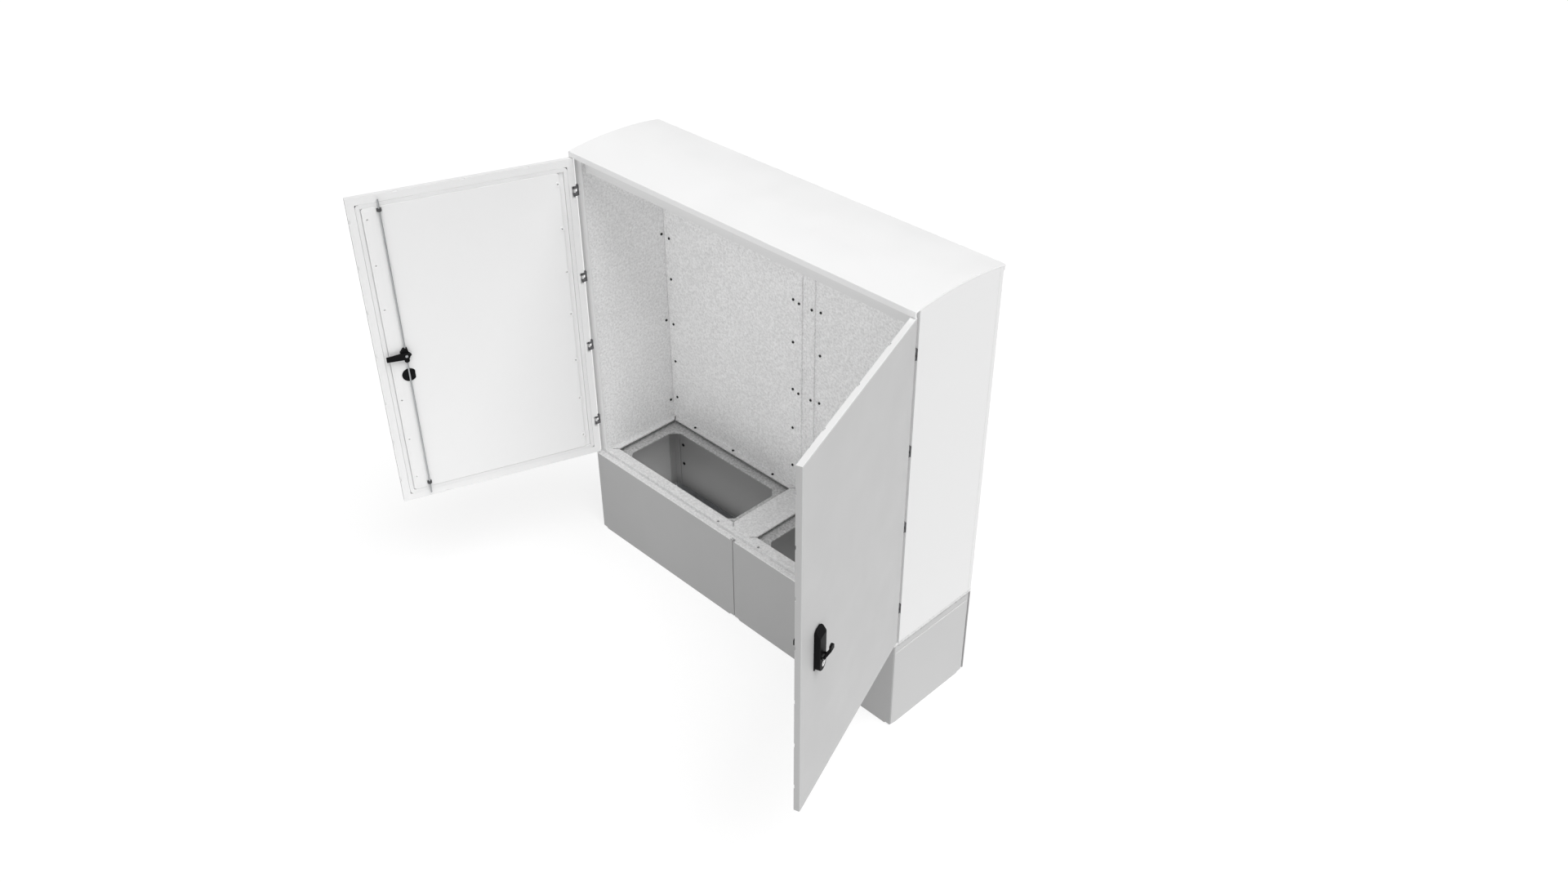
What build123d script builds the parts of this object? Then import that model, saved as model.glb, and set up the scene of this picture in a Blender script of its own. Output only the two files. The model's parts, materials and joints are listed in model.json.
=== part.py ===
"""Two-door outdoor battery cabinet on a two-module plinth, doors standing open.

Millimetres.  Origin: middle of the footprint, on the floor.  +X to the right as seen
from the front, the front faces -Y, +Z up.  Everything that belongs to a door is drawn
with the door shut, for the left-hand door, then swung open and, for the right-hand
door, mirrored.
"""
from build123d import *
import os
from math import sqrt

# ---------------------------------------------------------------- overall sizes
width = 1250.0
depth = 320.0
plinth_height = 297.0
body_height = 1018.0        # plinth top to the front edge of the roof
roof_rise = 12.0            # how far the arched roof rises over its front edge
open_angle = 110.0          # door angle in the modelled position

# ---------------------------------------------------------------- walls and gaps
wall = 4.0                  # moulded outer walls
liner = 3.0                 # inner wall panels
seam = 3.0                  # gap between the two plinth modules
joint_gap = 0.5             # gap between neighbouring fixed panels
screw_head_d = 8.0
screw_head_h = 2.0

# ---------------------------------------------------------------- plinth
plate_recess = 5.0          # top plate lies this far below the plinth's upper edge
plate_t = 4.0
cutout_margin_x = 75.75     # eight-sided cut-out of the top plate to the module's ends
cutout_margin_y = 58.0      # the same to its front and back
cutout_corner = 24.0
foot_step = 5.0             # corners of the panels stop this far above the floor
foot_len = 20.0
post_leg = 26.0
side_band = 27.0            # frame showing above the end cover
back_band = 10.0            # frame showing behind the end cover
end_cover_t = 2.5
rail_w = 46.0
rail_h = 22.0
rail_t = 3.0
plug_x = 48.0               # wall plugs to the ends of each module
plug_low = 115.0
plug_pitch = 76.0
plug_d = 10.0
anchor_d = 12.0
anchor_inset_x = 70.0       # anchor bolt to the outer end of each module
anchor_inset_y = 30.0       # anchor bolt to the front and back faces

# ---------------------------------------------------------------- base frame
base_h = 14.0
ledge_h = 4.0               # front ledge under the doors
side_ledge_h = 10.0         # the side panels stand on this ledge
base_margin_x = 48.45       # cable opening to the ends of the base frame
base_margin_front = 50.0
base_margin_back = 34.0
base_foot_inset = 8.0
base_skin = 4.0             # thickness of the frame's top around the opening
base_undercut = 26.0        # hollow under the top, out from the opening
base_joint = 0.2            # gap between the two base frames
slit_l = 24.0               # slits in the frame's top at the opening's corners
slit_w = 4.0
slit_deep = 6.0

# ---------------------------------------------------------------- body
seal_gap = 1.0              # shut door to the sealing face of the body
side_flange = 30.0          # width of the sealing face beside the doors
back_flange = 24.0          # width of the side panel's rear edge
side_liner_x = 26.0         # inner wall surface to the outside
back_liner_y = 18.0         # inner back surface to the outside
back_rim = 13.0             # depth of the back panel's rim, seen from the side
lip_t = 2.0
header_clear = 2.5          # inner header flange to the rod guides of a shut door
header_drop = 61.0          # lower edge of the header below the roof edge
lip_drop = 28.0             # lower edge of the top sealing lip below the roof edge
shelf_up = 3.0              # keeper shelf above the lower edge of the sealing lip
shelf_t = 3.5
roof_lip = 16.0             # height of the roof's front lip
roof_t = 4.0
roof_back_overhang = 5.0
rib_inner = 15.0            # raised strips beside the middle joint of the back wall
rib_outer = 34.0
rib_h = 6.0
row_near = 148.5            # first screw row above and below the middle of the doors
row_pitch = 136.0
row_lift = 6.5              # the rows' middle above the middle of the doors
row_middle = 10.5           # the single middle row above the rows' middle
row_margin = 60.0           # least distance of a row to the door's upper and lower edge
corner_screw_x = 48.0
centre_screw_x = 53.0
side_screw_y = 29.0         # screw row of the side wall, from the outside of the back
side_screw_low = 77.0       # lowest screw of the side wall above the plinth
side_screw_pitch = 297.5
side_screw_count = 3
notch_pitch = 178.0

# ---------------------------------------------------------------- doors
door_gap = 3.0              # to the side of the body and to the middle
door_t = 16.0
door_bottom = 12.0          # above the plinth's upper edge
door_top_gap = 2.0          # below the roof's front lip
door_skin = 3.0
door_edge = 3.5
door_flange = 22.0          # width of the turned-in edge
hinge_flange = 20.0         # the same on the hinge side
flange_t = 3.5
door_round = 3.0
pan_hinge = 46.0            # raised inner panel to the hinge edge
pan_free = 36.0             # the same to the free edge
pan_ends = 34.0             # the same to the upper and lower edge
pan_proud = 1.0             # inner panel above the turned-in edge
pan_t = 3.5
brim_step = 5.0             # brim around the inner panel, below its face
strip_h = 0.8               # raised strip along the lock side
strip_w = 16.0
boss_d = 14.0
boss_h = 1.0
boss_hole = 5.0
boss_hinge = 51.0           # screw bosses to the hinge edge
boss_free = 48.0            # screw bosses to the free edge
gasket_w = 11.0
gasket_in = 0.5             # bead to the turned-in edge
gasket_gap = 0.4            # bead to the sealing face when shut

# ---------------------------------------------------------------- hinges
pin_x = 5.0                 # hinge axis from the side of the body
pin_y = 5.5                 # hinge axis from the front
pin_d = 4.0
pin_fit = 0.05              # radial running clearance of the pins
knuckle_wall = 1.6
knuckle_h = 10.5
hinge_gap = 0.4
hinge_h = 3 * knuckle_h + 2 * hinge_gap
pocket = 12.0
pocket_skin = 1.4
hinge_low = 115.0           # lowest hinge to the door's lower edge
hinge_high = 100.0          # highest hinge to the door's upper edge
hinge_near = 116.0          # middle hinges above and below the rows' middle
leaf_t = 2.0
leaf_len = 5.0
pocket_wall = 1.5
arm_outer = 1.5             # the fixed arm, from the pin axis towards the outside
bracket_t = 2.5
bracket_w = 9.0

# ---------------------------------------------------------------- lock
spindle_in = 82.0           # spindle to the door's free edge
spindle_up = 5.0            # spindle above the middle of the door
spindle_side = 7.0
spindle_fit = 0.08          # radial running clearance in the lock case
spindle_clear = 0.5         # radial clearance in the door and the handle plate
rod_d = 5.0
rod_clear = 1.0             # rod to the disc under it
rod_fit = 0.05
rod_tip_gap = 12.0          # rod tips to the door's upper edge
rod_tip_low = 14.0          # rod tips to the door's lower edge
rod_hole_r = 4.2
guide_r = 5.0
guide_foot = 13.0
guide_h = 8.0
guide_in = 43.0             # guides to the door's upper edge
guide_in_low = 52.0
case_top = 22.5
case_low = 23.3
case_d = 9.5
case_round = 7.2            # round lower end of the case
rod_seat = 1.5              # rod end to the corner of the spindle
lever_len = 56.0
lever_tip = 15.0
lever_root = 20.8
lever_hub_r = 13.0
lever_t = 4.0
lever_gap = 0.5
lever_screw_r = 4.0
lever_screw_h = 1.2
disc_d = 41.0
disc_flat = 17.0            # flat on the hinge side of the disc to its middle
disc_drop = 68.0
disc_t = 2.0

# ---------------------------------------------------------------- handle
handle_w = 34.0
handle_up = 12.5            # spindle to the top
handle_corner = 9.0         # rounded top corners
plate_up = 10.0             # the same for the fixed plate under the handle
plate_down = 105.0          # spindle to the plate's bottom
handle_deep = 15.5          # front of the handle to the door
slope_low = 7.0             # the slanted top ends this far below the spindle
handle_plate_t = 2.5
handle_lift = 0.5
handle_edge = 1.5           # bevel around the handle's front
barrel_d = 17.0
barrel_proud = 1.5
barrel_drop = 88.0
bottom_drop = 92.0          # middle of the handle's round bottom
flap_drop = 67.0            # flap pin below the spindle
flap_out = 20.5             # flap pin in front of the door
flap_w = 15.0
flap_len = 30.0
flap_lip = 15.0             # bent finger lip at the flap's end
flap_t = 6.0
flap_hollow = 2.5
flap_pin_d = 2.4
flap_lean = 28.0            # open flap leans this far off the handle
ear_t = 3.0
ear_gap = 0.4
ear_r = 3.0

# ---------------------------------------------------------------- worked-out places
half = width / 2
front = -depth / 2
back = depth / 2
top = plinth_height                       # plinth's upper edge
roof_edge = top + body_height
roof_radius = ((depth / 2) ** 2 + roof_rise ** 2) / (2 * roof_rise)
roof_centre = roof_edge + roof_rise - roof_radius
lip_bottom = roof_edge - roof_lip
module_w = half - seam / 2
cutout_x = module_w - 2 * cutout_margin_x
cutout_y = depth - 2 * cutout_margin_y
base_open_x = half - base_joint / 2 - 2 * base_margin_x
base_open_y = depth - base_margin_front - base_margin_back
base_open_shift = (base_margin_front - base_margin_back) / 2
frame_setback = door_t + seal_gap         # sealing face of the body behind the front
rod_y = door_t + pan_proud + disc_t + rod_clear + rod_d / 2
header_setback = rod_y + guide_r + header_clear
knuckle_r = pin_d / 2 + knuckle_wall
flap_knuckle_r = flap_t / 2
door_x0 = -half + door_gap
door_x1 = -door_gap
door_z0 = top + door_bottom
door_z1 = lip_bottom - door_top_gap
door_mid = (door_z0 + door_z1) / 2
rows_mid = door_mid + row_lift
pan_x0 = door_x0 + pan_hinge
pan_x1 = door_x1 - pan_free
pan_z0 = door_z0 + pan_ends
pan_z1 = door_z1 - pan_ends
pan_y = front + door_t + pan_proud
axis_x = -half + pin_x
axis_y = front + pin_y
spindle_x = door_x1 - spindle_in
spindle_z = door_mid + spindle_up
spindle_r = spindle_side / 2 * sqrt(2)


def box(x0, x1, y0, y1, z0, z1):
    """A block between two opposite corners."""
    place = Pos((x0 + x1) / 2, (y0 + y1) / 2, (z0 + z1) / 2)
    return place * Box(abs(x1 - x0), abs(y1 - y0), abs(z1 - z0))


def rod_z(x, y, z0, z1, r):
    """An upright cylinder."""
    return Pos(x, y, (z0 + z1) / 2) * Cylinder(r, z1 - z0)


def rod_y_dir(x, z, y0, y1, r):
    """A cylinder along Y."""
    return Pos(x, (y0 + y1) / 2, z) * Rot(90, 0, 0) * Cylinder(r, y1 - y0)


def rod_x_dir(y, z, x0, x1, r):
    """A cylinder along X."""
    return Pos((x0 + x1) / 2, y, z) * Rot(0, 90, 0) * Cylinder(r, x1 - x0)


def plate_y(points, y0, y1):
    """A flat plate with an outline in X and Z, between two depths."""
    face = make_face(Polyline(*[(x, y0, z) for x, z in points], close=True))
    return extrude(face, amount=y1 - y0, dir=(0, 1, 0))


def plate_x(points, x0, x1):
    """A flat plate with an outline in Y and Z, between two X."""
    face = make_face(Polyline(*[(x0, y, z) for y, z in points], close=True))
    return extrude(face, amount=x1 - x0, dir=(1, 0, 0))


def mirrored(shape):
    """The right-hand twin of a left-hand shape."""
    return mirror(shape, about=Plane.YZ)


def opened(shape):
    """A left-hand door piece, swung from shut to open about the hinge axis."""
    return Pos(axis_x, axis_y, 0) * Rot(0, 0, -open_angle) * Pos(-axis_x, -axis_y, 0) * shape


def solids_of(shapes):
    """One group of separate solids."""
    return Compound(children=[s for shape in shapes for s in shape.solids()])


def save(shape, name):
    export_step(solids_of([shape]), f"parts/{name}.step")


def save_pair(shape, name):
    """Left and right twins of a fixed piece."""
    save(shape, name + "_left")
    save(mirrored(shape), name + "_right")


def save_door(shape, name):
    """Left and right twins of a piece that belongs to a door."""
    save_pair(opened(shape), name)


# ================================================================ plinth
def stepped_panel(x0, x1, y0, y1):
    """Upright panel along X whose lower corners stop short of the floor."""
    outline = [(x0, foot_step), (x0 + foot_len * 0.75, foot_step), (x0 + foot_len, 0),
               (x1 - foot_len, 0), (x1 - foot_len * 0.75, foot_step), (x1, foot_step),
               (x1, top), (x0, top)]
    return plate_y(outline, y0, y1)


def plinth_front():
    panel = stepped_panel(-half, -half + module_w, front, front + wall)
    corner = panel.edges().filter_by(Axis.Z).sort_by(Axis.X)[:2].sort_by(Axis.Y)[0]
    return fillet(corner, wall / 2)


def plinth_back():
    return stepped_panel(-half, -half + module_w, back - wall, back)


def end_outline(z0, z1):
    y0 = front + wall + joint_gap
    y1 = back - wall - joint_gap
    return [(y0, foot_step), (y0 + foot_len * 0.75, foot_step), (y0 + foot_len, z0),
            (y1 - foot_len, z0), (y1 - foot_len * 0.75, foot_step), (y1, foot_step),
            (y1, z1), (y0, z1)]


def plinth_end():
    """Outer end wall, with the raised cover field that its frame surrounds."""
    x0 = -half + end_cover_t
    body = plate_x(end_outline(0, top - plate_recess - plate_t), x0, x0 + wall)
    y0 = front + wall + joint_gap
    y1 = back - back_band
    z1 = top - side_band
    field = plate_x([(y0, foot_step), (y0 + foot_len, 0), (y1 - foot_len, 0),
                     (y1 - foot_len * 0.75, foot_step), (y1, foot_step), (y1, z1), (y0, z1)],
                    -half, x0 + 0.01)
    rim = field.faces().sort_by(Axis.X)[0].edges()
    far = [e for e in rim if e.center().Z > z1 - 1 or e.center().Y > y1 - 1]
    return body + chamfer(far, end_cover_t * 0.6)


def plinth_inner_end():
    x1 = -half + module_w
    return plate_x(end_outline(0, top - plate_recess - plate_t), x1 - wall, x1)


def eight_sided(cx, cy, z0, z1):
    a, b, c = cutout_x / 2, cutout_y / 2, cutout_corner
    pts = [(-a + c, -b), (a - c, -b), (a, -b + c), (a, b - c),
           (a - c, b), (-a + c, b), (-a, b - c), (-a, -b + c)]
    face = make_face(Polyline(*[(cx + x, cy + y, z0) for x, y in pts], close=True))
    return extrude(face, amount=z1 - z0, dir=(0, 0, 1))


def plinth_top():
    """Top frame: a recessed plate with an eight-sided cut-out and a raised border."""
    x0, x1 = -half + end_cover_t, -half + module_w
    y0, y1 = front + wall + joint_gap, back - wall - joint_gap
    z0, z1 = top - plate_recess - plate_t, top - plate_recess
    plate = box(x0, x1, y0, y1, z0, z1)
    border = box(x0, x1, y0, y1, z1, top)
    inset = base_foot_inset - joint_gap
    border -= box(x0 + inset, x1 - inset, y0 + inset, y1 - inset, z1, top)
    cx = -half + module_w / 2
    return plate + border - eight_sided(cx, 0, z0 - 1, top + 1)


def angle_post(sx, sy, cx):
    """Corner angle of one module; sx and sy say which corner."""
    inside_x = module_w / 2 - wall - (end_cover_t if sx < 0 else 0)
    inside_y = depth / 2 - wall - joint_gap
    z1 = top - plate_recess - plate_t
    x1, y1 = cx + sx * inside_x, sy * inside_y
    leg_a = box(x1, x1 - sx * post_leg, y1, y1 - sy * liner, rail_h, z1)
    leg_b = box(x1, x1 - sx * liner, y1, y1 - sy * post_leg, rail_h, z1)
    return leg_a + leg_b


def plinth_posts():
    cx = -half + module_w / 2
    posts = [angle_post(sx, sy, cx) for sx in (-1, 1) for sy in (-1, 1)]
    return solids_of(posts + [mirrored(p) for p in posts])


def bottom_rail(sy):
    """Channel along the foot of a module, open upwards, with two anchor holes."""
    x0 = -half + end_cover_t + wall
    x1 = -half + module_w - wall
    y_out = sy * (depth / 2 - wall - joint_gap)
    y_in = y_out - sy * rail_w
    rail = box(x0, x1, y_out, y_in, 0, rail_h)
    rail -= box(x0, x1, y_out - sy * rail_t, y_in + sy * rail_t, rail_t, rail_h)
    for x in (-half + anchor_inset_x, -half + module_w - anchor_inset_x):
        rail -= rod_z(x, sy * (depth / 2 - anchor_inset_y), -1, rail_t + 1, anchor_d / 2)
    return rail


def plinth_rails():
    rails = [bottom_rail(-1), bottom_rail(1)]
    return solids_of(rails + [mirrored(r) for r in rails])


# ================================================================ base frames
def base_frame():
    """Floor frame of one cabinet half, with its cable opening and front sill."""
    x0, x1 = -half, -base_joint / 2
    yf = front + frame_setback
    z = top
    frame = box(x0, x1, front, back, z, z + ledge_h)
    frame += box(x0, x1, yf, back, z, z + side_ledge_h)
    frame += box(x0 + wall + joint_gap, x1, yf, back - back_rim, z, z + base_h)
    inset = base_foot_inset + wall
    frame += box(x0 + inset, x1 - inset, front + inset, back - inset, z - plate_recess, z)
    cx = (x0 + x1) / 2
    bx, by = base_open_x / 2, base_open_y / 2
    cut = box(cx - bx, cx + bx, base_open_shift - by, base_open_shift + by,
              z - plate_recess - 1, z + base_h + 1)
    frame -= fillet(cut.edges().filter_by(Axis.Z), 6)
    u = base_undercut
    frame -= box(cx - bx - u, cx + bx + u, base_open_shift - by - u, base_open_shift + by + u,
                 z - plate_recess - 1, z + base_h - base_skin)
    frame -= rod_z(spindle_x, front + rod_y, z, z + base_h + 1, rod_hole_r)
    frame -= box(x1 - 9, x1, front, front + 9, z, z + ledge_h)
    for sx in (-1, 1):
        for sy in (-1, 1):
            slot = Rot(0, 0, 45 * sx * sy) * Box(slit_l, slit_w, 2 * slit_deep)
            frame -= Pos(cx + sx * (bx + 5), base_open_shift + sy * (by + 5), z + base_h) * slot
    return frame


# ================================================================ body shell
def trim_to_roof(shape):
    """Cut an upright panel off just under the arched roof."""
    big = 4 * depth
    under = rod_x_dir(0, roof_centre, -width, width, roof_radius - roof_t - joint_gap)
    room = box(-width, width, -depth, depth, 0, roof_edge + big) - under
    room -= box(-width, width, -depth, depth, 0, roof_edge - 4 * roof_lip)
    return shape - room


def side_panel():
    """Outer side wall, turned in at the front (sealing face) and at the back."""
    x0 = -half
    y0, y1 = front + frame_setback, back - back_rim - joint_gap
    z0, z1 = top + side_ledge_h, roof_edge + roof_rise
    panel = box(x0, x0 + wall, y0, y1, z0, z1)
    panel += box(x0, x0 + side_flange, y0, y0 + wall, z0, z1)
    panel -= box(x0 + wall, x0 + side_flange, y0, y0 + wall, z0, top + base_h + joint_gap)
    panel += box(x0, x0 + back_flange, y1 - wall, y1, top + base_h + joint_gap, z1)
    for z in hinge_heights():
        panel -= box(x0 + 1, x0 + 1 + bracket_w, y0, y0 + bracket_t,
                     z - hinge_h / 2, z + hinge_h / 2)
    return trim_to_roof(panel)


def side_liner():
    """Inner skin of the side wall."""
    x1 = -half + side_liner_x
    z0, z1 = top + base_h + joint_gap, lip_bottom - joint_gap
    y0, y1 = front + frame_setback + wall + joint_gap, back - back_liner_y
    return box(x1 - liner, x1, y0, y1, z0, z1)


def back_panel():
    """Outer back wall of one half: a shallow tray whose rim shows from the side."""
    x0, x1 = -half, -joint_gap / 2
    z0, z1 = top + side_ledge_h, roof_edge + roof_rise
    panel = box(x0, x1, back - back_rim, back, z0, z1)
    panel -= box(x0 + wall, x1 - wall, back - back_rim, back - wall, z0 + wall,
                 roof_edge - 2 * roof_lip)
    return trim_to_roof(panel)


def back_liner():
    """Inner back wall of one half, with a raised strip beside the middle joint."""
    x0, x1 = -half + side_liner_x + joint_gap, -joint_gap / 2
    y0 = back - back_liner_y
    z0, z1 = top + base_h + joint_gap, lip_bottom - joint_gap
    panel = box(x0, x1, y0, y0 + liner, z0, z1)
    rib = box(-rib_outer, -rib_inner, y0 - rib_h, y0, z0, z1)
    rib = chamfer(rib.faces().sort_by(Axis.Y)[0].edges().filter_by(Axis.Z), 1.5)
    return panel + rib


def header():
    """Front top rail of one half: sealing lip, keeper shelf and deeper inner flange."""
    x0, x1 = -half + side_flange + joint_gap, -joint_gap / 2
    y_lip = front + frame_setback
    y_in = front + header_setback
    z_lip = roof_edge - lip_drop
    shelf0 = z_lip + shelf_up
    shelf1 = shelf0 + shelf_t
    rail = box(x0, x1, y_lip, y_lip + lip_t, z_lip, shelf1)
    rail += box(x0, x1, y_lip, y_in + wall, shelf0, shelf1)
    rail += box(x0, x1, y_in, y_in + wall, roof_edge - header_drop, lip_bottom + wall)
    rail -= rod_z(spindle_x, front + rod_y, shelf0 - 1, shelf1 + 1, rod_hole_r)
    middle = -half / 2
    for k in (-1, 0, 1):
        x = middle + k * notch_pitch
        rail -= box(x - 5, x + 5, y_lip, y_lip + lip_t, z_lip, shelf0)
    return rail


def arc_profile(y0, y1, r):
    """Circular arch in the YZ plane, as (y, z) ends and middle."""
    def z(y):
        return roof_centre + sqrt(r ** 2 - y ** 2)
    mid = (y0 + y1) / 2
    return ThreePointArc((-half, y0, z(y0)), (-half, mid, z(mid)), (-half, y1, z(y1)))


def roof():
    """Arched roof with a lip turned down at the front and at the back."""
    y1 = back + roof_back_overhang
    outer = arc_profile(front, y1, roof_radius)
    low = roof_edge - roof_lip
    a, b = outer @ 0, outer @ 1
    sides = Polyline((-half, b.Y, b.Z), (-half, y1, low), (-half, front, low),
                     (-half, a.Y, a.Z))
    solid = extrude(make_face([outer, sides]), amount=width, dir=(1, 0, 0))
    y_in1 = y1 - roof_t + 0.4
    inner = arc_profile(front + roof_t, y_in1, roof_radius - roof_t)
    c, d = inner @ 0, inner @ 1
    under = Polyline((-half, d.Y, d.Z), (-half, y_in1, low - 1),
                     (-half, front + roof_t, low - 1), (-half, c.Y, c.Z))
    hollow = extrude(make_face([inner, under]), amount=width, dir=(1, 0, 0))
    solid -= hollow
    crown = [e for e in solid.edges() if abs(e.length - width) < 1 and
             abs(e.center().Y - front) < 0.5 and e.center().Z > roof_edge - 1]
    return fillet(crown, 1.5)


# ================================================================ screws
def screw_heights():
    """Screw rows of the back wall, which the screw bosses of the doors line up with."""
    half_run = (door_z1 - door_z0) / 2 - row_margin - row_near - row_lift
    count = int(half_run // row_pitch) + 1
    heights = [rows_mid + row_middle]
    for k in range(count):
        heights.append(rows_mid - row_near - k * row_pitch)
        heights.append(rows_mid + row_near + k * row_pitch)
    return heights


def head_y(x, z, y, side=-1):
    """Pan head on a wall that faces the front (side -1) or the back (side 1)."""
    y1 = y + side * screw_head_h
    return rod_y_dir(x, z, min(y, y1), max(y, y1), screw_head_d / 2)


def head_x(y, z, x):
    return rod_x_dir(y, z, x, x + screw_head_h, screw_head_d / 2)


def panel_screws():
    """Heads of the screws that hold the inner walls, the base frames and the end covers."""
    heads = []
    y = back - back_liner_y
    for z in screw_heights():
        heads.append(head_y(-half + corner_screw_x, z, y))
        heads.append(head_y(-centre_screw_x, z, y))
    for z in (rows_mid - row_near, rows_mid + row_near):
        heads.append(head_y(-(rib_inner + rib_outer) / 2, z, y - rib_h))
    for k in range(side_screw_count):
        z = top + side_screw_low + k * side_screw_pitch
        heads.append(head_x(back - side_screw_y, z, -half + side_liner_x))
    cx = -(half + seam / 2) / 2
    y = back - back_liner_y - screw_head_d / 2 - joint_gap
    for k in (-1, 0, 1):
        heads.append(rod_z(cx + k * notch_pitch, y, top + base_h,
                           top + base_h + screw_head_h, screw_head_d / 2))
    return solids_of(heads + [mirrored(h) for h in heads])


def plinth_plugs():
    """Round plugs on the inner faces of the plinth's front and back walls."""
    plugs = []
    y = depth / 2 - wall
    for x in (-half + plug_x, -half + module_w - plug_x):
        for z in (plug_low, plug_low + plug_pitch):
            plugs.append(rod_y_dir(x, z, y - screw_head_h, y, plug_d / 2))
            plugs.append(rod_y_dir(x, z, -y, -y + screw_head_h, plug_d / 2))
    return solids_of(plugs + [mirrored(p) for p in plugs])


# ================================================================ hinges
def hinge_heights():
    return [door_z0 + hinge_low, rows_mid - hinge_near, rows_mid + hinge_near, door_z1 - hinge_high]


def pin_hole(z):
    return rod_z(axis_x, axis_y, z - hinge_h, z + hinge_h, pin_d / 2 + pin_fit)


def hinge_bracket(z):
    """Fixed half of a hinge: two knuckles on arms from a let-in plate."""
    y_face = front + frame_setback
    x0 = -half + 1
    parts = box(x0, x0 + bracket_w, y_face, y_face + bracket_t, z - hinge_h / 2, z + hinge_h / 2)
    for side in (-1, 1):
        z0 = z + side * (hinge_h / 2)
        z1 = z0 - side * knuckle_h
        lo, hi = min(z0, z1), max(z0, z1)
        parts += rod_z(axis_x, axis_y, lo, hi, knuckle_r)
        parts += box(axis_x - arm_outer, axis_x + knuckle_r, axis_y, y_face, lo, hi)
    return parts - pin_hole(z)


def hinge_leaf(z):
    """Moving half of a hinge: one knuckle and a plate on the inside of the door's skin."""
    z0, z1 = z - knuckle_h / 2, z + knuckle_h / 2
    y0 = front + door_skin
    leaf = rod_z(axis_x, axis_y, z0, z1, knuckle_r)
    x1 = door_x0 + pocket + pocket_wall
    leaf += box(axis_x, x1 + 1, y0, y0 + leaf_t, z0, z1)
    leaf += box(x1, x1 + leaf_len, y0, y0 + leaf_t, z - hinge_h / 2, z + hinge_h / 2)
    return leaf - pin_hole(z)


def hinge_pins():
    pins = []
    for z in hinge_heights():
        pin = rod_z(axis_x, axis_y, z - hinge_h / 2 - 1, z + hinge_h / 2, pin_d / 2)
        pins.append(pin + rod_z(axis_x, axis_y, z + hinge_h / 2, z + hinge_h / 2 + 1, knuckle_r - 0.6))
    return solids_of(pins + [mirrored(p) for p in pins])


# ================================================================ doors
def door_shell():
    """Outer skin of a door with its turned edge, hinge pockets and spindle hole."""
    y0, y1 = front, front + door_t
    shell = box(door_x0, door_x1, y0, y1, door_z0, door_z1)
    shell = fillet(shell.faces().sort_by(Axis.Y)[0].edges(), door_round)
    e, f = door_edge, door_flange
    shell -= box(door_x0 + e, door_x1 - e, y0 + door_skin, y1 - flange_t, door_z0 + e, door_z1 - e)
    window = box(door_x0 + hinge_flange, door_x1 - f, y1 - flange_t - 1, y1,
                 door_z0 + f, door_z1 - f)
    shell -= fillet(window.edges().filter_by(Axis.Y), door_round)
    for z in hinge_heights():
        h = hinge_h / 2 + 2
        w = pocket_wall
        shell += box(door_x0 + e, door_x0 + pocket + w, y0 + door_skin - 1, y1, z - h - w, z + h + w)
        shell -= box(door_x0 - 1, door_x0 + pocket, y0 + pocket_skin, y1 + 1, z - h, z + h)
        arm = knuckle_h / 2 + joint_gap
        shell -= box(door_x0 + pocket - 1, door_x0 + pocket + w, y0 + door_skin,
                     y0 + door_skin + leaf_t + joint_gap, z - arm, z + arm)
    mid_x = (door_x0 + door_x1) / 2
    for k in (-1, 0, 1):
        x = mid_x + k * notch_pitch
        shell -= box(x - 6, x + 6, y1 - 2.5, y1, door_z0, door_z0 + e)
        shell -= box(x - 6, x + 6, y1 - 2.5, y1, door_z1 - e, door_z1)
    for z in screw_heights():
        shell -= box(door_x1 - e, door_x1, y1 - 2.5, y1, z - 6, z + 6)
    hole = spindle_r + spindle_clear
    return shell - rod_y_dir(spindle_x, spindle_z, y0 - 1, y1, hole)


def boss(x, z):
    """Screw boss from the outer skin to just above the inner panel."""
    return rod_y_dir(x, z, front + door_skin, pan_y + boss_h, boss_d / 2)


def door_pan():
    """Raised inner panel of a door, with a brim, screw bosses and a stiffening strip."""
    y0, y1 = front + door_skin, pan_y
    pan = box(pan_x0, pan_x1, y0, y1, pan_z0, pan_z1)
    pan = fillet(pan.edges().filter_by(Axis.Y), 8)
    pan = fillet(pan.faces().sort_by(Axis.Y)[-1].edges(), 1.5)
    hinge_in = hinge_flange + gasket_in + gasket_w + joint_gap
    free_in = door_flange + gasket_in + gasket_w + joint_gap
    pan += box(door_x0 + hinge_in, door_x1 - free_in, y0, y1 - brim_step,
               door_z0 + free_in, door_z1 - free_in)
    t = liner
    pan -= box(pan_x0 + t, pan_x1 - t, y0, y1 - pan_t, pan_z0 + t, pan_z1 - t)
    strip_x1 = pan_x1 - 6
    pan += box(strip_x1 - strip_w, strip_x1, y1, y1 + strip_h, pan_z0 + 10, pan_z1 - 10)
    for x in (door_x0 + boss_hinge, door_x1 - boss_free):
        for z in screw_heights():
            if x > pan_x0 + boss_d and abs(z - spindle_z) < 2 * case_low:
                continue
            pan += boss(x, z)
            pan -= rod_y_dir(x, z, pan_y - pan_t, pan_y + boss_h, boss_hole / 2)
    hole = spindle_r + spindle_clear
    return pan - rod_y_dir(spindle_x, spindle_z, y0 - 1, y1 + strip_h + 1, hole)


def door_gasket():
    """Foam bead in the channel around the raised panel."""
    y0, y1 = front + door_skin, front + frame_setback - gasket_gap
    o = door_flange + gasket_in
    inner = o + gasket_w
    hx = hinge_flange + gasket_in
    outer_box = box(door_x0 + hx, door_x1 - o, y0, y1, door_z0 + o, door_z1 - o)
    inner_box = box(door_x0 + hx + gasket_w, door_x1 - inner, y0, y1,
                    door_z0 + inner, door_z1 - inner)
    outer_box = fillet(outer_box.edges().filter_by(Axis.Y), 10)
    return outer_box - inner_box


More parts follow.
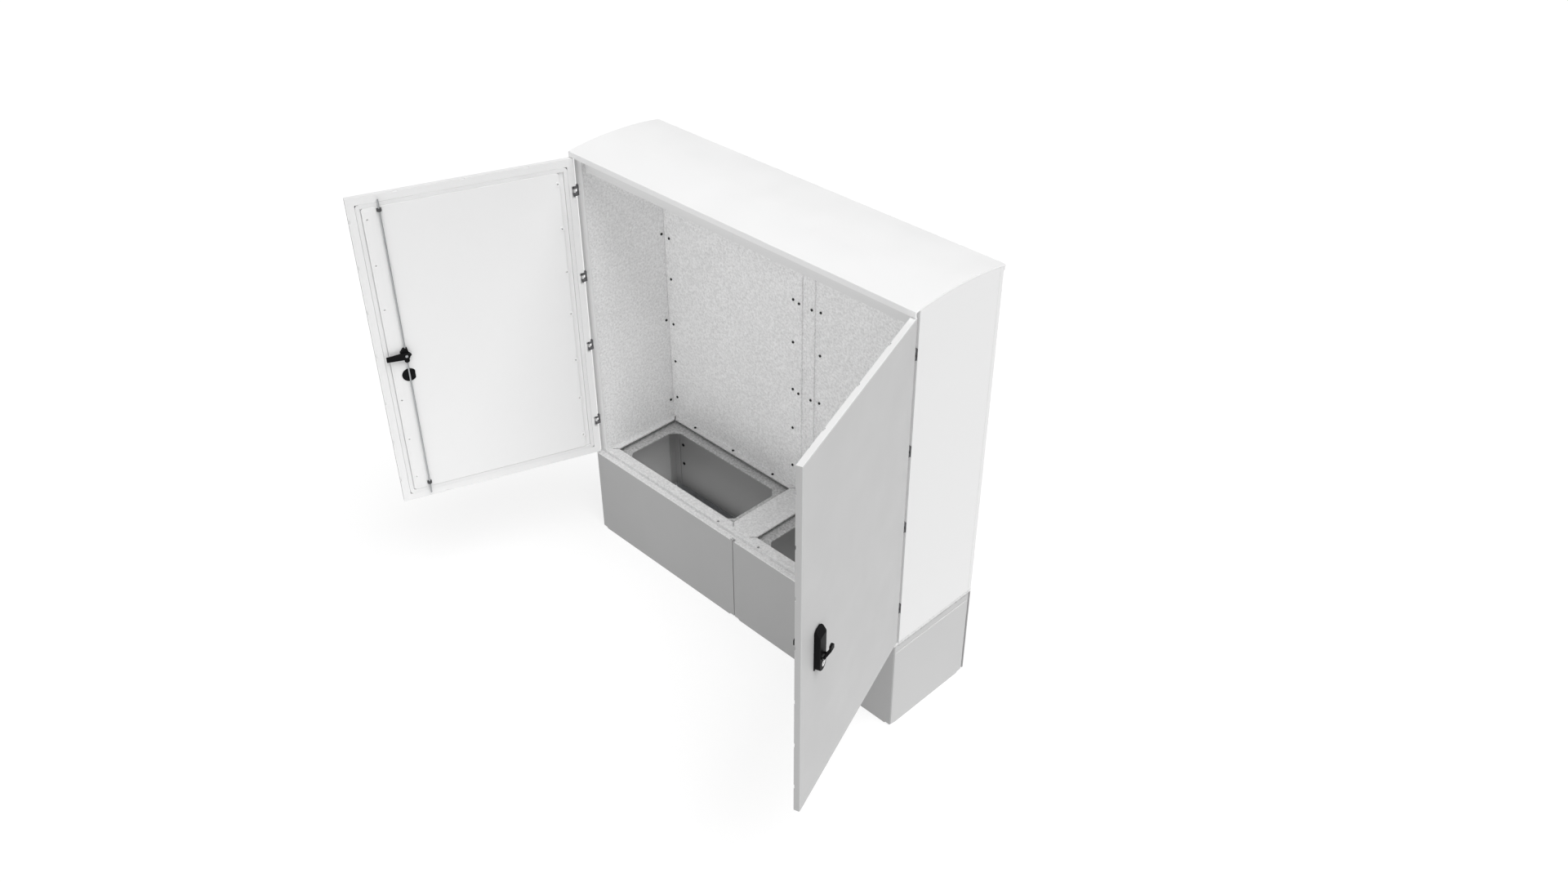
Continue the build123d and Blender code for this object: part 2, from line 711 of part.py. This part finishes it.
# ================================================================ lock, inside the door
def rod_end_z(upper):
    return door_z1 - rod_tip_gap if upper else door_z0 + rod_tip_low


def lock_case():
    """Gearbox between the spindle and the two rods, with a small nose on the hinge side.

    The outline is given around the spindle; its lower end is round.
    """
    y0, y1 = pan_y, pan_y + case_d
    r = case_round
    outline = [(-5.5, case_top), (5.5, case_top), (15.5, 11), (13, -8), (r, -12),
               (r, r - case_low), (-r, r - case_low), (-r, -9), (-8, -7), (-15.3, -1), (-9, 5.7)]
    case = plate_y([(spindle_x + x, spindle_z + z) for x, z in outline], y0, y1)
    case += rod_y_dir(spindle_x, spindle_z + r - case_low, y0, y1, r)
    case -= rod_z(spindle_x, front + rod_y, spindle_z - case_low - 1, spindle_z + case_top + 1,
                  rod_d / 2 + rod_fit)
    hole = spindle_r + spindle_fit
    return case - rod_y_dir(spindle_x, spindle_z, y0 - 1, y1 + 1, hole)


def lock_rod(upper):
    """Round locking rod from the lock case to a pointed tip."""
    side = 1 if upper else -1
    z_in = spindle_z + side * (spindle_r + rod_seat)
    z_out = rod_end_z(upper)
    rod = rod_z(spindle_x, front + rod_y, min(z_in, z_out), max(z_in, z_out), rod_d / 2)
    tip = rod.edges().filter_by(GeomType.CIRCLE).sort_by(Axis.Z)[-1 if upper else 0]
    return chamfer(tip, 2.0, 1.0)


def rod_guides():
    guides = []
    y = front + rod_y
    for z in (door_z1 - guide_in, door_z0 + guide_in_low):
        ring = rod_z(spindle_x, y, z - guide_h / 2, z + guide_h / 2, guide_r)
        foot = box(spindle_x - guide_foot / 2, spindle_x + guide_foot / 2, pan_y, y,
                   z - guide_h / 2, z + guide_h / 2)
        bore = rod_z(spindle_x, y, z - guide_h, z + guide_h, rod_d / 2 + rod_fit)
        guides.append(ring + foot - bore)
    return solids_of(guides)


def lock_lever():
    """Flat lever on the end of the spindle, pointing at the free edge."""
    y0 = pan_y + case_d + lever_gap
    y1 = y0 + lever_t
    root, tip = lever_root / 2, lever_tip / 2
    arm = plate_y([(spindle_x, spindle_z - root), (spindle_x + lever_hub_r, spindle_z - root),
                   (spindle_x + lever_len, spindle_z - tip), (spindle_x + lever_len, spindle_z + tip),
                   (spindle_x + lever_hub_r, spindle_z + root), (spindle_x, spindle_z + root)],
                  y0, y1)
    arm = fillet(arm.edges().filter_by(Axis.Y).sort_by(Axis.X)[-2:], 2)
    arm += rod_y_dir(spindle_x, spindle_z, y0, y1, root)
    square = Pos(spindle_x, (y0 + y1) / 2, spindle_z) * Box(spindle_side, lever_t + 2, spindle_side)
    return arm - square


def spindle():
    """Square shaft from the handle to the lever, ended by a screw head."""
    y0 = front - handle_plate_t - handle_lift
    y1 = pan_y + case_d + lever_gap + lever_t
    shaft = Pos(spindle_x, (y0 + y1) / 2, spindle_z) * Box(spindle_side, y1 - y0, spindle_side)
    return shaft + rod_y_dir(spindle_x, spindle_z, y1, y1 + lever_screw_h, lever_screw_r)


def lock_disc():
    """Nut of the lower handle fixing, lying under the rod, flat on the hinge side."""
    z = spindle_z - disc_drop
    disc = rod_y_dir(spindle_x, z, pan_y, pan_y + disc_t, disc_d / 2)
    disc -= box(spindle_x - disc_d, spindle_x - disc_flat, pan_y - 1, pan_y + disc_t + 1,
                z - disc_d, z + disc_d)
    return chamfer(disc.faces().sort_by(Axis.Y)[-1].edges(), 0.6)


# ================================================================ handle, outside the door
def round_top(up, w, y):
    """Outline of the handle's top around the spindle: a flat top with round corners."""
    x, z = spindle_x, spindle_z + up
    r = handle_corner
    c = r * (1 - sqrt(0.5))
    return [ThreePointArc((x - w, y, z - r), (x - w + c, y, z - c), (x - w + r, y, z)),
            Line((x - w + r, y, z), (x + w - r, y, z)),
            ThreePointArc((x + w - r, y, z), (x + w - c, y, z - c), (x + w, y, z - r))]


def handle_plate():
    """Fixed plate between the handle and the door, with a square bottom."""
    w = handle_w / 2
    z_low = spindle_z - plate_down
    z_top = spindle_z + plate_up - handle_corner
    foot = Polyline((spindle_x + w, front, z_top), (spindle_x + w, front, z_low),
                    (spindle_x - w, front, z_low), (spindle_x - w, front, z_top))
    plate = extrude(make_face(round_top(plate_up, w, front) + [foot]), amount=handle_plate_t,
                    dir=(0, -1, 0))
    hole = spindle_r + spindle_clear
    return plate - rod_y_dir(spindle_x, spindle_z, front - handle_plate_t - 1, front + 1, hole)


def handle():
    """Turning handle: slanted at its top, round at its bottom, open over the barrel."""
    y_near = front - handle_plate_t - handle_lift
    y_far = front - handle_deep
    w = handle_w / 2
    z_mid = spindle_z - bottom_drop
    z_top = spindle_z + handle_up - handle_corner
    sides = [Line((spindle_x + w, y_near, z_top), (spindle_x + w, y_near, z_mid)),
             ThreePointArc((spindle_x + w, y_near, z_mid), (spindle_x, y_near, z_mid - w),
                           (spindle_x - w, y_near, z_mid)),
             Line((spindle_x - w, y_near, z_mid), (spindle_x - w, y_near, z_top))]
    body = extrude(make_face(round_top(handle_up, w, y_near) + sides), amount=y_near - y_far,
                   dir=(0, -1, 0))
    z0, z1 = spindle_z - slope_low, spindle_z + handle_up
    slope = [(y_far - 1, z0), (y_far, z0), (y_near, z1), (y_near, z1 + 1), (y_far - 1, z1 + 1)]
    body -= plate_x(slope, spindle_x - handle_w, spindle_x + handle_w)
    rim = body.faces().sort_by(Axis.Y)[0].edges()
    body = chamfer([e for e in rim if e.center().Z < z0 - 0.1], handle_edge)
    body -= rod_y_dir(spindle_x, spindle_z - barrel_drop, y_far - 1, y_near + 1,
                      barrel_d / 2 + pin_fit)
    ear_z = spindle_z - flap_drop
    y_pin = front - flap_out
    for side in (-1, 1):
        x0 = spindle_x + side * (flap_w / 2 + ear_gap)
        x1 = x0 + side * ear_t
        lo, hi = min(x0, x1), max(x0, x1)
        body += box(lo, hi, y_pin, y_far + 1, ear_z - ear_r, ear_z + ear_r)
        body += rod_x_dir(y_pin, ear_z, lo, hi, ear_r)
    return body - rod_x_dir(y_pin, ear_z, spindle_x - handle_w, spindle_x + handle_w,
                            flap_pin_d / 2)


def lock_barrel():
    """Key barrel in the lower part of the handle."""
    z = spindle_z - barrel_drop
    y0, y1 = front - handle_deep - barrel_proud, front - handle_plate_t - handle_lift
    barrel = rod_y_dir(spindle_x, z, y0, y1, barrel_d / 2)
    return barrel - box(spindle_x - 0.8, spindle_x + 0.8, y0, y0 + 4, z - 4, z + 4)


def flap_pin():
    reach = flap_w / 2 + ear_gap + ear_t
    return rod_x_dir(front - flap_out, spindle_z - flap_drop, spindle_x - reach,
                     spindle_x + reach, flap_pin_d / 2)


def key_flap():
    """Cover of the key barrel, thrown open: it leans off the handle and ends in a lip."""
    y, z = front - flap_out, spindle_z - flap_drop
    x0, x1 = spindle_x - flap_w / 2, spindle_x + flap_w / 2
    t = flap_t / 2
    plate = box(x0, x1, y - t, y + t, z, z + flap_len)
    plate -= box(x0 + 1.5, x1 - 1.5, y - t, y - t + flap_hollow, z + 2 * t, z + flap_len - 2)
    plate += rod_x_dir(y, z + flap_len, x0, x1, t)
    lip = box(x0, x1, y - t, y + t, z + flap_len, z + flap_len + flap_lip)
    lip = fillet(lip.edges().filter_by(Axis.Y).group_by(Axis.Z)[-1], flap_w * 0.4)
    bend = Pos(spindle_x, y, z + flap_len)
    plate += bend * Rot(-flap_lean, 0, 0) * Pos(-spindle_x, -y, -z - flap_len) * lip
    flap = plate + rod_x_dir(y, z, x0, x1, flap_knuckle_r)
    flap -= rod_x_dir(y, z, x0 - 1, x1 + 1, flap_pin_d / 2 + pin_fit)
    turn = Pos(spindle_x, y, z) * Rot(flap_lean, 0, 0) * Pos(-spindle_x, -y, -z)
    return turn * flap


def main():
    os.makedirs("parts", exist_ok=True)
    save_pair(plinth_front(), "plinth_front")
    save_pair(plinth_back(), "plinth_back")
    save_pair(plinth_end(), "plinth_end")
    save_pair(plinth_top(), "plinth_top")
    inner = plinth_inner_end()
    save(solids_of([inner, mirrored(inner)]), "plinth_inner_ends")
    save(plinth_posts(), "plinth_posts")
    save(plinth_rails(), "plinth_rails")
    save(plinth_plugs(), "plinth_plugs")
    save_pair(base_frame(), "base_frame")
    save_pair(side_panel(), "side_panel")
    save_pair(side_liner(), "side_liner")
    save_pair(back_panel(), "back_panel")
    save_pair(back_liner(), "back_liner")
    save_pair(header(), "header")
    save(roof(), "roof")
    save(panel_screws(), "panel_screws")
    brackets = [hinge_bracket(z) for z in hinge_heights()]
    save(solids_of(brackets + [mirrored(b) for b in brackets]), "hinge_brackets")
    save(hinge_pins(), "hinge_pins")

    save_door(door_shell(), "door_shell")
    save_door(door_pan(), "door_pan")
    save_door(door_gasket(), "door_gasket")
    save_door(solids_of([hinge_leaf(z) for z in hinge_heights()]), "hinge_leaves")
    save_door(lock_case(), "lock_case")
    save_door(rod_guides(), "rod_guides")
    save_door(lock_disc(), "lock_disc")
    save_door(handle_plate(), "handle_plate")
    save_door(lock_rod(True), "rod_upper")
    save_door(lock_rod(False), "rod_lower")
    save_door(handle(), "handle")
    save_door(spindle(), "spindle")
    save_door(lock_lever(), "lock_lever")
    save_door(lock_barrel(), "lock_barrel")
    save_door(flap_pin(), "flap_pin")
    save_door(key_flap(), "key_flap")


main()
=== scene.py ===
"""Looks for the two-door outdoor battery cabinet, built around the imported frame.

Everything is in metres, in the frame of the model: origin in the middle of the plinth's
footprint on the floor, +X to the right, the doors face -Y, +Z up.
"""
import json
from math import radians

import bpy
from mathutils import Matrix, Vector

SIDES = ("left", "right")
DOOR_ANGLE = radians(110)      # the doors stand open by this angle
SHARP_ANGLE = radians(35)      # edges sharper than this stay crisp
SPECK_SCALE = 150              # specks of the sheet moulding, per metre
BROAD_SCALE = 9                # slow mottling of the moulded plastic, per metre

FLOOR_REACH = 30.0             # half the side of the floor
FLOOR_GLOW = 0.78
WORLD_LIGHT = 0.12             # strength of the surroundings as a light
WORLD_SEEN = 1.0               # the same as the camera sees them: white
KEY_FROM, KEY_STRENGTH, KEY_SOFTNESS = (1.0, 0.0, 2.3), 3.05, 50
FILL_FROM, FILL_STRENGTH, FILL_SOFTNESS = (0.35, -1.0, 0.35), 0.62, 60

LENS = 31.5                    # millimetres, on a sensor 36 mm wide
SENSOR_WIDTH = 36.0
CAMERA_PLACE = (2.2896, -2.2374, 2.8373)
CAMERA_TILT = radians(54.736)  # up from looking straight down
CAMERA_TURN = radians(45)

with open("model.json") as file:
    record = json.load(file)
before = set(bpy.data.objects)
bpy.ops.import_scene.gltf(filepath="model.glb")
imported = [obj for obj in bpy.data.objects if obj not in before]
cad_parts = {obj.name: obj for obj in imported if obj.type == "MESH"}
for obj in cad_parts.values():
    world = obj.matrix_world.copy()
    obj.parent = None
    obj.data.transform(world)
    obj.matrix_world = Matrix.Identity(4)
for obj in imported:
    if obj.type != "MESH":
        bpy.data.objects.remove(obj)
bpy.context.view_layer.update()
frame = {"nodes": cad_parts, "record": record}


# ---------------------------------------------------------------- shader helpers
def new_material(name):
    """Empty node material with a Principled shader; returns (material, nodes, links, shader)."""
    mat = bpy.data.materials.new(name)
    mat.use_nodes = True
    nodes, links = mat.node_tree.nodes, mat.node_tree.links
    return mat, nodes, links, nodes["Principled BSDF"]


def object_coords(nodes):
    return nodes.new("ShaderNodeTexCoord").outputs["Object"]


def noise(nodes, links, coords, scale, detail=3.0, roughness=0.55):
    """Noise value, scale in specks per metre."""
    tex = nodes.new("ShaderNodeTexNoise")
    tex.inputs["Scale"].default_value = scale
    tex.inputs["Detail"].default_value = detail
    tex.inputs["Roughness"].default_value = roughness
    links.new(coords, tex.inputs["Vector"])
    return tex.outputs["Fac"]


def remap(nodes, links, value, low, high, start=0.3, end=0.7):
    """Map a noise value onto the range low..high."""
    node = nodes.new("ShaderNodeMapRange")
    node.inputs["From Min"].default_value = start
    node.inputs["From Max"].default_value = end
    node.inputs["To Min"].default_value = low
    node.inputs["To Max"].default_value = high
    links.new(value, node.inputs["Value"])
    return node.outputs["Result"]


def blended(nodes, links, first, second, share):
    """Mix of two noise values; share is the second one's part."""
    mix = nodes.new("ShaderNodeMix")
    mix.inputs["Factor"].default_value = share
    links.new(first, mix.inputs["A"])
    links.new(second, mix.inputs["B"])
    return mix.outputs["Result"]


def grey(level):
    return (level, level, level)


def tinted(nodes, links, value, colour, spread):
    """Colour that wanders by +-spread about its mean as the noise value rises."""
    ramp = nodes.new("ShaderNodeValToRGB")
    low, high = ramp.color_ramp.elements
    low.position, high.position = 0.3, 0.7
    low.color = [c * (1 - spread) for c in colour] + [1]
    high.color = [min(1, c * (1 + spread)) for c in colour] + [1]
    links.new(value, ramp.inputs["Fac"])
    return ramp.outputs["Color"]


def bumped(nodes, links, shader, height, strength, distance):
    """Let a noise value raise and lower the surface by up to distance, in metres."""
    bump = nodes.new("ShaderNodeBump")
    bump.inputs["Strength"].default_value = strength
    bump.inputs["Distance"].default_value = distance
    links.new(height, bump.inputs["Height"])
    links.new(bump.outputs["Normal"], shader.inputs["Normal"])


def moulded(name, colour, spread=0.015, grain_scale=420, grain=0.25, rough=(0.42, 0.56), gloss=0.4):
    """Moulded plastic: slight mottling, fine grain and uneven gloss."""
    mat, nodes, links, shader = new_material(name)
    coords = object_coords(nodes)
    fine = noise(nodes, links, coords, grain_scale, detail=4)
    broad = noise(nodes, links, coords, BROAD_SCALE, detail=2)
    mottle = blended(nodes, links, broad, fine, 0.6)
    links.new(tinted(nodes, links, mottle, colour, spread), shader.inputs["Base Color"])
    links.new(remap(nodes, links, broad, *rough), shader.inputs["Roughness"])
    bumped(nodes, links, shader, fine, grain, 0.0004)
    shader.inputs["Specular IOR Level"].default_value = gloss
    return mat


def metal(name, colour, rough=(0.25, 0.45), stretch=(1, 1, 1), scale=180):
    """Plated or galvanised steel with a drawn or cloudy finish."""
    mat, nodes, links, shader = new_material(name)
    coords = object_coords(nodes)
    mapping = nodes.new("ShaderNodeMapping")
    mapping.inputs["Scale"].default_value = stretch
    links.new(coords, mapping.inputs["Vector"])
    grain = noise(nodes, links, mapping.outputs["Vector"], scale, detail=4)
    links.new(tinted(nodes, links, grain, colour, 0.10), shader.inputs["Base Color"])
    links.new(remap(nodes, links, grain, *rough), shader.inputs["Roughness"])
    bumped(nodes, links, shader, grain, 0.12, 0.0002)
    shader.inputs["Metallic"].default_value = 1.0
    return mat


def speckled(name, colour, spread, rough=(0.5, 0.7)):
    """Sheet moulding with a coarse fibre pattern: light and dark specks a few millimetres wide."""
    mat, nodes, links, shader = new_material(name)
    coords = object_coords(nodes)
    specks = noise(nodes, links, coords, SPECK_SCALE, detail=1.5, roughness=0.7)
    fine = noise(nodes, links, coords, 3 * SPECK_SCALE, detail=3)
    broad = noise(nodes, links, coords, 7, detail=2)
    fibres = blended(nodes, links, specks, broad, 0.12)
    links.new(tinted(nodes, links, fibres, colour, spread), shader.inputs["Base Color"])
    links.new(remap(nodes, links, broad, *rough), shader.inputs["Roughness"])
    bumped(nodes, links, shader, fine, 0.5, 0.0006)
    shader.inputs["Specular IOR Level"].default_value = 0.3
    return mat


MATERIALS = {
    "roof": moulded("roof", grey(0.90), spread=0.006, grain=0.08),
    "cabinet_shell": moulded("cabinet_shell", grey(0.80), spread=0.008, grain=0.10),
    "cabinet_liner": speckled("cabinet_liner", grey(0.86), 0.16),
    "base_frame": speckled("base_frame", grey(0.71), 0.14),
    # plinth_shell and plinth_end are one grey plastic given two greys: plinth_shell darker with
    # painted shade, plinth_end lighter with painted light.
    "plinth_shell": moulded("plinth_shell", grey(0.375), spread=0.015, grain=0.15),
    "plinth_end": moulded("plinth_end", grey(0.55), spread=0.015, grain=0.15),
    "plinth_deck": speckled("plinth_deck", grey(0.48), 0.30),
    "door_shell": moulded("door_shell", grey(0.83), spread=0.008, grain=0.10),
    "door_panel": moulded("door_panel", grey(0.84), spread=0.008, grain=0.10),
    "gasket_foam": moulded("gasket_foam", grey(0.80), spread=0.06, grain_scale=900, grain=0.8,
                           rough=(0.8, 0.95)),
    "hinge_light": moulded("hinge_light", grey(0.80), spread=0.03, rough=(0.35, 0.5)),
    # hinge_dark: dark grey on the hinge brackets, painted shade for the gap shadows around the
    # hinge knuckles.
    "hinge_dark": moulded("hinge_dark", (0.13, 0.13, 0.135), spread=0.08, rough=(0.35, 0.5)),
    "black_plastic": moulded("black_plastic", (0.006, 0.006, 0.0065), spread=0.25, grain_scale=900,
                             grain=0.3, rough=(0.45, 0.6), gloss=0.07),
    "guide_grey": moulded("guide_grey", (0.06, 0.06, 0.062), spread=0.1),
    "screw_dark": metal("screw_dark", grey(0.035), rough=(0.4, 0.55)),
    "zinc_steel": metal("zinc_steel", (0.42, 0.43, 0.44), stretch=(1, 1, 0.1)),
    "galvanised_steel": metal("galvanised_steel", (0.50, 0.51, 0.52), rough=(0.45, 0.65), scale=40),
    "barrel_metal": metal("barrel_metal", grey(0.66), rough=(0.18, 0.3)),
}
# Greyer copies of the door grey: painted shade for the doors' outer faces and upright edges.
DOOR_FACE_PAINTED_SHADE = moulded("door_face_painted_shade", grey(0.55), spread=0.008, grain=0.10)
DOOR_EDGE_PAINTED_SHADE = moulded("door_edge_painted_shade", grey(0.47), spread=0.008, grain=0.10)


def dress_cad():
    """Give every CAD node the material of its slot."""
    slots = {row["node"]: row["material_slot"] for row in frame["record"]["subparts"]}
    for node, obj in frame["nodes"].items():
        obj.data.materials.clear()
        obj.data.materials.append(MATERIALS[slots[node]])
        for poly in obj.data.polygons:
            poly.use_smooth = True
        obj.data.set_sharp_from_angle(angle=SHARP_ANGLE)
    # Painted shade on the doors' outer faces and upright edges.
    for side in SIDES:
        paint_door_shade(frame["nodes"]["door_shell_" + side], side)


def paint_door_shade(obj, side):
    """Painted shade: the doors' outer faces and upright edges are painted slightly greyer than
    their insides, standing in for the dimmer light they get.
    """
    turn = -DOOR_ANGLE if side == "left" else DOOR_ANGLE
    outward = Matrix.Rotation(turn, 3, "Z") @ Vector((0, -1, 0))
    obj.data.materials.append(DOOR_FACE_PAINTED_SHADE)
    obj.data.materials.append(DOOR_EDGE_PAINTED_SHADE)
    for poly in obj.data.polygons:
        facing = poly.normal.dot(outward)
        if facing > 0.5:
            poly.material_index = 1
        elif facing > -0.5 and abs(poly.normal.z) < 0.5:
            poly.material_index = 2


def add_floor():
    """Pale floor that glows a little, like a light table, so that its shadows stay faint."""
    mesh = bpy.data.meshes.new("floor")
    r = FLOOR_REACH
    mesh.from_pydata([(-r, -r, 0), (r, -r, 0), (r, r, 0), (-r, r, 0)], [], [(0, 1, 2, 3)])
    floor = bpy.data.objects.new("floor", mesh)
    bpy.context.scene.collection.objects.link(floor)
    mat, nodes, links, shader = new_material("floor_pale")
    coords = object_coords(nodes)
    cloud = noise(nodes, links, coords, 1.5)
    links.new(tinted(nodes, links, cloud, grey(0.25), 0.01), shader.inputs["Base Color"])
    shader.inputs["Roughness"].default_value = 0.9
    shader.inputs["Specular IOR Level"].default_value = 0.0
    shader.inputs["Emission Color"].default_value = (1, 1, 1, 1)
    shader.inputs["Emission Strength"].default_value = FLOOR_GLOW
    mesh.materials.append(mat)


def add_sun(name, source, strength, softness):
    """Soft far light shining from the direction of source; softness in degrees."""
    light = bpy.data.lights.new(name, "SUN")
    light.energy = strength
    light.angle = radians(softness)
    obj = bpy.data.objects.new(name, light)
    obj.rotation_euler = Vector(source).to_track_quat("Z", "Y").to_euler()
    bpy.context.scene.collection.objects.link(obj)


def add_light():
    """Two soft suns, and white surroundings that light the object only faintly."""
    world = bpy.data.worlds.new("studio")
    world.use_nodes = True
    nodes, links = world.node_tree.nodes, world.node_tree.links
    sky = nodes["Background"]
    sky.inputs["Color"].default_value = (1, 1, 1, 1)
    seen = nodes.new("ShaderNodeLightPath").outputs["Is Camera Ray"]
    links.new(remap(nodes, links, seen, WORLD_LIGHT, WORLD_SEEN, 0.0, 1.0), sky.inputs["Strength"])
    bpy.context.scene.world = world
    add_sun("key", KEY_FROM, KEY_STRENGTH, KEY_SOFTNESS)
    add_sun("fill", FILL_FROM, FILL_STRENGTH, FILL_SOFTNESS)


def add_camera():
    """View from high over the right-hand front corner."""
    camera = bpy.data.cameras.new("view")
    camera.lens = LENS
    camera.sensor_width = SENSOR_WIDTH
    obj = bpy.data.objects.new("view", camera)
    obj.location = CAMERA_PLACE
    obj.rotation_euler = (CAMERA_TILT, 0, CAMERA_TURN)
    bpy.context.scene.collection.objects.link(obj)
    bpy.context.scene.camera = obj
    bpy.context.scene.view_settings.view_transform = "Standard"


add_camera()
add_light()
add_floor()
dress_cad()
